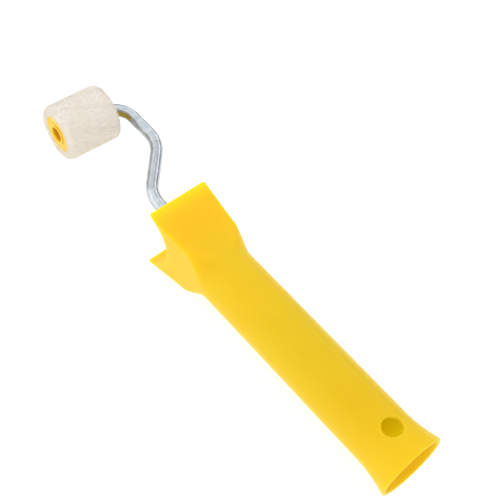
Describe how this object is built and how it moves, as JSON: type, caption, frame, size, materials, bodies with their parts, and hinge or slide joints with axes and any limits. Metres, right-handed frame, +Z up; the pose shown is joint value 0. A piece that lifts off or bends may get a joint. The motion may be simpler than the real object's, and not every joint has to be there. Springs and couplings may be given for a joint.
{
  "type": "mini edging paint roller",
  "caption": "Mini paint roller for edges and trim: short pile sleeve spinning on a cranked zinc wire frame, in a hollow yellow handle with a hook-shaped head, hang hole and pole socket.",
  "frame": {"origin": "centre of the hang hole, on the handle's axis", "axes": "+X along the handle's axis towards the roller, +Z up through the hang hole, wire frame lying flat in XY"},
  "size_m": [0.2682, 0.047, 0.0412],
  "materials": {
    "handle_plastic": "satin moulded polypropylene, yellow",
    "zinc_wire": "bright zinc-plated drawn wire",
    "collar_steel": "plain steel",
    "nut_steel": "spring steel",
    "bearing_plastic": "orange self-lubricating plastic",
    "cap_plastic": "satin moulded plastic, yellow",
    "core_plastic": "plain extruded tube",
    "pile_fabric": "short dense knitted pile, cream"
  },
  "bodies": {
    "frame": {"handle": "handle_plastic", "wire_frame": "zinc_wire", "stop_collar": "collar_steel", "push_nut": "nut_steel"},
    "roller": {"bearing_tube": "bearing_plastic", "inner_end_cap": "cap_plastic", "outer_end_cap": "cap_plastic", "core_tube": "core_plastic", "pile_cover": "pile_fabric"}
  },
  "joints": [
    {"name": "roller_spin", "type": "hinge", "parent": "frame", "child": "roller", "pos_m": [0.2349, 0, 0], "axis": [0.0523, 0.9986, 0], "continuous": true}
  ]
}
